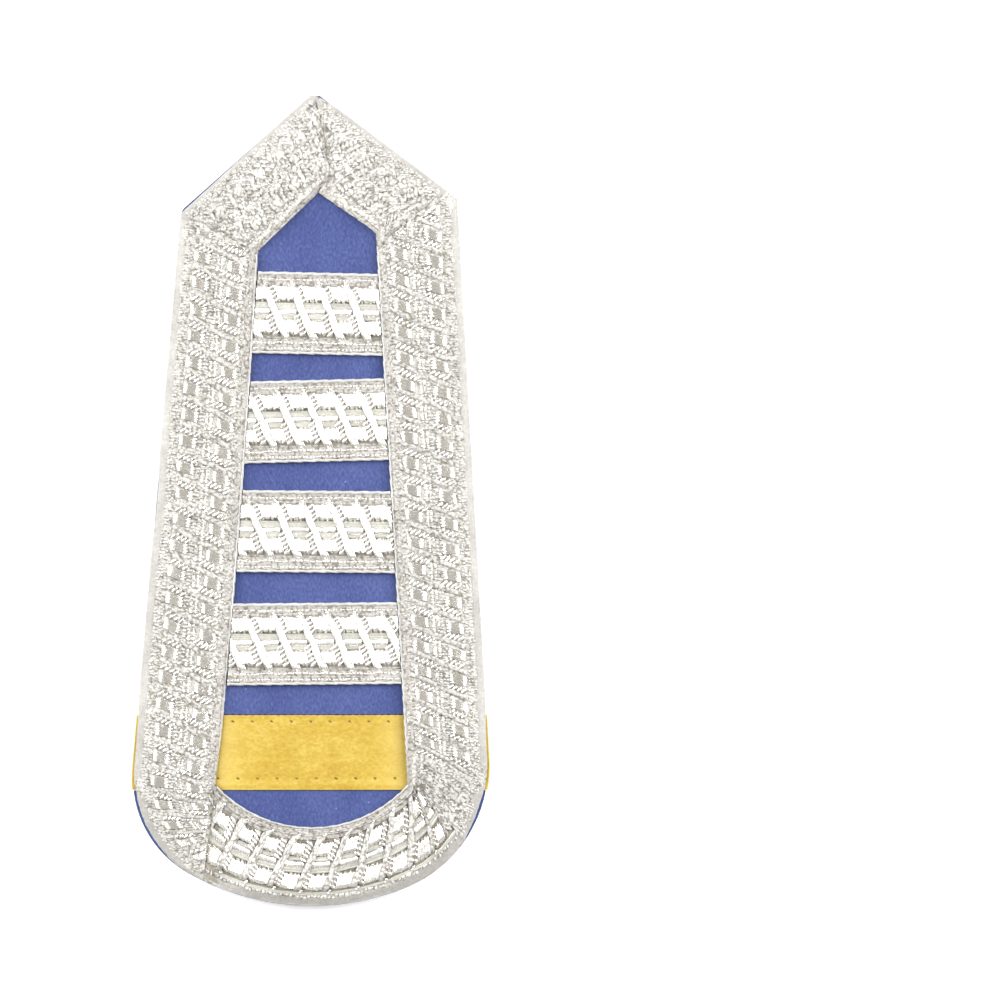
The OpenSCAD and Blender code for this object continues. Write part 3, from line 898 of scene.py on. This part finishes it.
WEAVE = 200.0, 2200.0, (0.5, 0.0001)
silver_thread = make_thread(
    "silver_thread", ((0.76, 0.72, 0.66), (0.89, 0.87, 0.83), (0.97, 0.96, 0.94)), 0.95, (0.3, 0.17))
soft_silver = make_thread(
    "soft_silver", ((0.47, 0.46, 0.435), (0.59, 0.58, 0.56), (0.72, 0.715, 0.70)), 0.42, (0.58, 0.46),
    grainy=(1900.0, 0.00005))
white_cord = make_thread(
    "white_cord", ((0.38, 0.375, 0.36), (0.50, 0.495, 0.48), (0.64, 0.635, 0.62)), 0.1, (0.6, 0.5))
selvage_thread = make_thread(
    "selvage_thread", ((0.35, 0.335, 0.31), (0.45, 0.435, 0.41), (0.56, 0.545, 0.52)), 0.1, (0.6, 0.5),
    grainy=(2000.0, 0.00006))
band_thread = make_thread(
    "band_thread", ((0.31, 0.297, 0.275), (0.395, 0.382, 0.36), (0.48, 0.467, 0.445)), 0.25, (0.6, 0.5),
    300.0, 2200.0)
recess_thread = make_thread(
    "recess_thread", ((0.37, 0.365, 0.325), (0.50, 0.495, 0.45), (0.64, 0.635, 0.59)), 0.3, (0.55, 0.45),
    *WEAVE)
light_weave = make_thread(
    "light_weave", ((0.46, 0.445, 0.41), (0.60, 0.585, 0.55), (0.72, 0.71, 0.68)), 0.3, (0.55, 0.45),
    *WEAVE, grainy=(2200.0, 0.0001))
# The ground under the bars and the foot is painted dark as shade: where it shows through the gaps above the
# recesses it stands for the shadow under the blocks
ground_weave_painted_shade = make_thread(
    "ground_weave_painted_shade", ((0.17, 0.155, 0.12), (0.29, 0.27, 0.22), (0.42, 0.40, 0.34)), 0.3, (0.6, 0.45),
    *WEAVE)
blue_cloth, gold_satin = make_cloth(), make_satin()
stitch_gold = make_thread(
    "stitch_gold", ((0.12, 0.07, 0.008), (0.19, 0.12, 0.012), (0.27, 0.18, 0.02)), 0.0, (0.8, 0.7))
stitch_blue = make_thread(
    "stitch_blue", ((0.02, 0.028, 0.09), (0.04, 0.055, 0.16), (0.07, 0.09, 0.22)), 0.0, (0.8, 0.7))

# The laid lace
REPEATS = {kind: woven_repeat(kind) for kind in ("bar", "foot", "side", "peak")}
left_side, foot = side_run_left(), foot_and_right_run()
left_slope, right_slope = slope_run_left(), slope_run_right()

laid = []


def lace(node, stretches, tucks=()):
    """Lays lace in place of a node of the board, as its ground and its figure, and hides that node."""
    ground, figure = lace_piece("laid_" + node, stretches, tucks)
    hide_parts(node)
    for piece in (ground, figure):
        laid.append(piece)


for i, (drop, degrees, rib_place) in enumerate(BARS):
    y = HALF_L - FIRST_BAR - i * BAR_PITCH - drop
    ends = []
    down = (window_left[1] - y) / (window_left[1] - window_low_left[1])
    for (start, u), bow in ((left_side_in, 4 * SIDE_BOW * down * (1 - down)), (right_side_in, 0.0)):
        on_edge = start + u * ((y - start[1]) / u[1]) + left_of(u) * (BAR_GAP + bow)
        ends.append(((on_edge, on_edge + u), vec(0, y)))
    lace(f"bar_{i + 1}", [(bar_run(y, degrees, rib_place), -5, 10, "bar", ends)])

# Depth of the furrow along a seam and along a rim, and how far a furrow goes from the board's edge
FURROW, RIM_FURROW, ALL_ALONG, OUTER_PART = 0.85, 0.5, 99, 5
tip_tucks = tuple((seam, FURROW, ALL_ALONG) for seam in tip_seams)
left_tuck, right_tuck = (left_seam, FURROW, ALL_ALONG), (right_seam, FURROW, ALL_ALONG)
left_dart_tuck, right_dart_tuck = (left_dart, FURROW, ALL_ALONG), (right_dart, FURROW, OUTER_PART)
left_rim_tuck, right_rim_tuck = (left_rim, RIM_FURROW, ALL_ALONG), (right_rim, RIM_FURROW, ALL_ALONG)
above, below = vec(0, 200), vec(0, -200)
tip_cut = ((vec(-5, HALF_L), vec(5, HALF_L)), below)
lace("peak_lace_left",
     [(left_slope, 1, 12, "peak",
       (*((seam, left_shoulder) for seam in tip_seams), tip_cut, (left_seam, tip), (left_rim, vec(0, 0))))],
     (*tip_tucks, left_tuck, left_rim_tuck))
# The right lace of the peak ends under the bowed edge of the left one, so it is laid in three stretches
splits = tuple((bend, bend + vec(1.0, 0.45)) for bend in tip_bends[1:3])
lace("peak_lace_right",
     [(right_slope, 1, 12, "peak",
       (tip_cut, (right_seam, tip), (tip_seams[0], right_shoulder), (splits[0], above))),
      (right_slope, 1, 12, "peak",
       ((right_seam, tip), (tip_seams[1], right_shoulder), (splits[0], below), (splits[1], above))),
      (right_slope, 1, 12, "peak", ((right_seam, tip), (tip_seams[2], right_shoulder), (splits[1], below)))],
     (*tip_tucks, right_tuck))
lace("side_lace_left",
     [(left_side, 1, 31, "side", ((left_seam, left_side_end), (left_dart, vec(-30, -50))))],
     (left_tuck, left_dart_tuck))
lace("side_lace_right",
     [(foot, 6, 6, "foot", ((right_dart, vec(29, -60)),)),
      (foot, 12, 3, "peak", ((right_dart, vec(29, -60)),)),
      (foot, 15, 24, "side", ((right_seam, right_side_end), (right_rim, vec(0, 0))))],
     (right_tuck, right_dart_tuck, right_rim_tuck))
lace("foot_lace",
     [(foot, 0, 12, "foot", ((left_dart, vec(0, -60)), (right_dart, vec(0, -60))))],
     (left_dart_tuck, right_dart_tuck))
for repeat in REPEATS.values():
    bpy.data.objects.remove(repeat)


# The golden ribbon

RIBBON_L, RIBBON_CLOTH_T, RIBBON_BEND, PICOT_PITCH = 90.0, 0.4, 0.7, 1.08
PUCKER_R, PUCKER_DEPTH = 0.45, 0.14
# Places (along, across) of the two rows of stitches
UPPER_STITCHES = [(-0.03 + 3.24 * k, RIBBON_W / 2 - 1.1) for k in range(-8, 9)]
LOWER_STITCHES = [(0.91 + 3.27 * k, 2.0 - RIBBON_W / 2) for k in range(-8, 9)]


def ribbon_ends(v):
    """Where the ribbon turns round the left and the right edge of the board, at places across it."""
    edge = np.concatenate(([left_shoulder], foot_edge(), [right_shoulder]))
    whole = lengths(edge)[-1]
    path = points_along(edge, np.linspace(0, whole, int(whole / 0.25) + 1))
    along = np.gradient(path, axis=0)
    along /= np.linalg.norm(along, axis=1)[:, None]
    s, across = board_to_ribbon(path + RIBBON_RISE * np.stack((along[:, 1], -along[:, 0]), axis=1))
    near = np.abs(across) < RIBBON_W
    left, right = near & (s < 0), near & (s > 0)
    return np.interp(v, across[left][::-1], s[left][::-1]), np.interp(v, across[right], s[right])


def ribbon_path(s_left, s_right):
    """The ribbon's way round the board, from its left end on the back to its right one: distances along it at
    each place across it, and heights."""
    low, high, back = BACK_Z - RIBBON_RISE, FACE_Z + RIBBON_RISE, HALF_W - RIBBON_TURN_IN
    turn = np.radians(np.linspace(0, 90, 6))
    halves = []
    for edge, way in ((s_left, 1), (s_right, -1)):
        bend = way * RIBBON_BEND
        half = [(-way * back + (edge + bend + way * back) * t, low) for t in np.linspace(0, 1, 13)[:-1]]
        half += [(edge + bend * (1 - math.sin(a)), low + RIBBON_BEND * (1 - math.cos(a))) for a in turn]
        half += [(edge + bend * (1 - math.cos(a)), high - RIBBON_BEND * (1 - math.sin(a))) for a in turn]
        halves.append(half)
    face = [(s_left + RIBBON_BEND + (s_right - s_left - 2 * RIBBON_BEND) * t, high)
            for t in np.linspace(0, 1, 150)[1:-1]]
    s, z = zip(*halves[0], *face, *halves[1][::-1])
    return np.array(s), np.array(z)


def picots(s):
    """The small loops along the ribbon's upper edge: 1 at the top of each."""
    return np.abs(np.sin(math.pi * s / PICOT_PITCH))


def ribbon_face(s, v):
    """How far the face stands above or below its plain height: puckers, hem and the pull of the lace."""
    x, y = ribbon_to_board(s, v)
    rise = 0.05 * ripple(np.column_stack((s, v)), 6.0, 11) + 0.02 * ripple(np.column_stack((s, v)), 1.4, 12)
    for at_s, at_v in UPPER_STITCHES + LOWER_STITCHES:
        rise -= PUCKER_DEPTH * np.exp(-((s - at_s) ** 2 + (v - at_v) ** 2) / PUCKER_R ** 2)
    rise += 0.09 * np.exp(-((v + RIBBON_W / 2 - 0.85) / 0.4) ** 2)
    rise += 0.07 * smoothstep((v - RIBBON_W / 2 + 0.7) / 0.5) * picots(s)
    for start, u in (left_side_in, right_side_in):
        inside = (np.column_stack((x, y)) - start) @ left_of(u)
        rise -= 0.3 * np.exp(-np.clip(inside, 0, None) / 1.6)
    return rise


def ribbon_piece():
    bpy.ops.mesh.primitive_grid_add(x_subdivisions=195, y_subdivisions=48, size=2)
    ribbon = bpy.context.active_object
    ribbon.name = ribbon.data.name = "ribbon_satin"
    co = points(ribbon)
    v = co[:, 1] * (RIBBON_W / 2 - 0.08)
    way_s, way_z = ribbon_path(*ribbon_ends(v))
    station = (co[:, 0] + 1) / 2 * (len(way_s) - 1)
    below = np.clip(station.astype(int), 0, len(way_s) - 2)
    part, each = station - below, np.arange(len(v))
    s = way_s[below, each] * (1 - part) + way_s[below + 1, each] * part
    z = way_z[below] * (1 - part) + way_z[below + 1] * part
    on_face = np.clip((z - FACE_Z) / RIBBON_RISE, 0, 1)
    v = v + 0.1 * (picots(s) - 0.6) * smoothstep((v - RIBBON_W / 2 + 0.6) / 0.6)
    z = z + on_face * ribbon_face(s, v)
    set_points(ribbon, np.column_stack((*ribbon_to_board(s, v), z)) * MM)
    apply(ribbon, "SOLIDIFY", thickness=RIBBON_CLOTH_T * MM, offset=-1)
    ribbon.data.materials.append(gold_satin)
    smooth(ribbon, 50)
    return ribbon


def to_metres(piece, finish):
    set_points(piece, points(piece) * MM)
    piece.data.materials.append(finish)
    smooth(piece, 50)
    return piece


def ribbon_stitches():
    s, v = np.array(UPPER_STITCHES + LOWER_STITCHES).T
    top = FACE_Z + RIBBON_RISE + ribbon_face(s, v) + 0.11
    stitches = [thread(at, (0.5, 0.75, 0.1), lean=65, flat=0.5, along=4)
                for at in zip(*ribbon_to_board(s, v), top)]
    return to_metres(joined("ribbon_stitches", stitches), stitch_gold)


# The fastening tongue under the back

# Distance of the tongue's stitches from its edges and of its own underside from the table, their pitch, and
# the angles between the stitches round its end and round the button hole
STITCH_IN, OFF_TABLE, STITCH_PITCH, END_STEP, HOLE_STEP = 1.3, 0.14, 2.2, 15, 12


def combined(piece, other, operation):
    """Joins another solid to a piece or cuts it out of it."""
    apply(piece, "BOOLEAN", object=other, operation=operation, solver="EXACT")
    bpy.data.objects.remove(other)


def stitch_row(start, end, z, facing):
    """Stitches in a row along a line. facing is 1 on an upper side and -1 on an underside."""
    start, end = vec(*start), vec(*end)
    u = unit(end - start)
    stitch = thread((*start, z), (0.28, STITCH_PITCH * 0.7, 0.15), lean=angle_of(u) - 90, flat=0.4, along=4)
    if facing < 0:
        stitch.rotation_euler[0] = math.pi
    bpy.ops.object.transform_apply()
    repeated(stitch, int(np.linalg.norm(end - start) / STITCH_PITCH) + 1, (*(u * STITCH_PITCH), 0))
    return stitch


def slab(width, y_from, y_to, z_from, z_to):
    """A cuboid on the board's middle line."""
    bpy.ops.mesh.primitive_cube_add(size=1, location=(0, (y_from + y_to) / 2, (z_from + z_to) / 2))
    piece = bpy.context.active_object
    piece.scale = (width, y_to - y_from, z_to - z_from)
    bpy.ops.object.transform_apply()
    return piece


def tongue_pieces():
    low = SEWN_FROM_FOOT - HALF_L
    top = low + TONGUE_L
    round_y = top - TONGUE_W / 2
    hole = vec(0, top - BUTTON_HOLE_FROM_END)
    tongue = slab(TONGUE_W, low, round_y, OFF_TABLE, TONGUE_T)
    tongue.name = tongue.data.name = "tongue_cloth"
    bpy.ops.mesh.primitive_cylinder_add(vertices=96, radius=TONGUE_W / 2, depth=TONGUE_T - OFF_TABLE,
                                        location=(0, round_y, (OFF_TABLE + TONGUE_T) / 2))
    combined(tongue, bpy.context.active_object, "UNION")
    combined(tongue, slab(TONGUE_W, low, low + SEWN_L, OFF_TABLE, BACK_Z), "UNION")
    bpy.ops.mesh.primitive_cylinder_add(vertices=48, radius=BUTTON_HOLE_D / 2, depth=8, location=(*hole, 0))
    combined(tongue, bpy.context.active_object, "DIFFERENCE")
    apply(tongue, "BEVEL", width=0.35, segments=3, limit_method="ANGLE", angle_limit=math.radians(40))
    to_metres(tongue, blue_cloth)
    stitches = []
    x = TONGUE_W / 2 - STITCH_IN
    round_end = [(on_circle(vec(0, round_y), x, a), (0.28, 1.5, 0.15), a, 0.4)
                 for a in range(0, 181, END_STEP)]
    round_hole = [(on_circle(hole, BUTTON_HOLE_D / 2 + 0.75, a), (0.5, 1.4, 0.15), a - 90, 0.3)
                  for a in range(0, 360, HOLE_STEP)]
    for z, facing in ((TONGUE_T + 0.04, 1), (0.0, -1)):
        for side in (-x, x):
            stitches.append(stitch_row((side, low + STITCH_IN), (side, round_y), z, facing))
        for at, size, lean, flat in round_end + round_hole:
            stitches.append(thread((*at, z), size, lean, flat, 4))
            stitches[-1].rotation_euler[0] = 0 if facing > 0 else math.pi
    corners = [(-x, low + STITCH_IN), (x, low + STITCH_IN), (x, low + SEWN_L - 1), (-x, low + SEWN_L - 1)]
    for a, b in ((0, 1), (2, 3), (0, 2), (1, 3)):
        stitches.append(stitch_row(corners[a], corners[b], 0.0, -1))
    return tongue, to_metres(joined("tongue_stitches", stitches), stitch_blue)


ribbon = ribbon_piece()
stitched = ribbon_stitches()
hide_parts("ribbon")
tongue, tongue_sewing = tongue_pieces()
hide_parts("fastening_tongue")
for piece, slot in ((ribbon, "ribbon"), (stitched, "ribbon"), (tongue, "tongue"), (tongue_sewing, "tongue")):
    laid.append(piece)

# The board's cloth
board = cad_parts["board"]
board.data.materials.clear()
board.data.materials.append(blue_cloth)

for piece in laid:
    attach(piece, "root")

# Table, lights and camera
bpy.ops.mesh.primitive_plane_add(size=1.6, location=(0, 0, 0))
floor = bpy.context.active_object
floor.name = "floor"
paper, _, shader = new_material("white_paper")
fill(shader, Base_Color=(0.93, 0.93, 0.93, 1), Roughness=0.9, Emission_Color=(1, 1, 1, 1),
     Emission_Strength=0.3)
floor.data.materials.append(paper)

for name, x in (("light_left", -0.52), ("light_right", 0.52)):
    light = bpy.data.lights.new(name, "AREA")
    light.shape = "RECTANGLE"
    light.size, light.size_y, light.energy = 0.35, 0.9, 7.2
    lamp = bpy.data.objects.new(name, light)
    lamp.location = (x, 0.2, 0.5)
    lamp.rotation_euler = lamp.location.to_track_quat("Z", "Y").to_euler()
    bpy.context.scene.collection.objects.link(lamp)

world = bpy.data.worlds.new("room")
bpy.context.scene.world = world
world.use_nodes = True
# The room: bright to the left and right, darker in front, behind and above
room = world.node_tree
around = new_node(room, "TexCoord").outputs["Generated"]
fill(room.nodes["Background"], Strength=1.0, Color=ramp(room, sideways(room, around), (
    (0.0, (0.34, 0.32, 0.285)), (0.3, (0.44, 0.425, 0.39)), (0.8, (1.0, 1.0, 1.0)))))

# The camera looks straight down. Its frame shows 1000 / 6 mm at the height of the lace
CAMERA_AT, CAMERA_ROLL = (30.9 * MM, 0.58 * MM, 1.2), 0.862
FRAME_WIDTH, LACE_HEIGHT, SENSOR = 1000 / 6 * MM, 5 * MM, 36
camera_data = bpy.data.cameras.new("camera")
camera = bpy.data.objects.new("camera", camera_data)
bpy.context.scene.collection.objects.link(camera)
camera_data.sensor_width = SENSOR
camera_data.lens = SENSOR * (CAMERA_AT[2] - LACE_HEIGHT) / FRAME_WIDTH
camera_data.clip_end = 10
camera.location = CAMERA_AT
camera.rotation_euler = (0, 0, math.radians(CAMERA_ROLL))
bpy.context.scene.camera = camera
bpy.context.scene.view_settings.view_transform = "Standard"
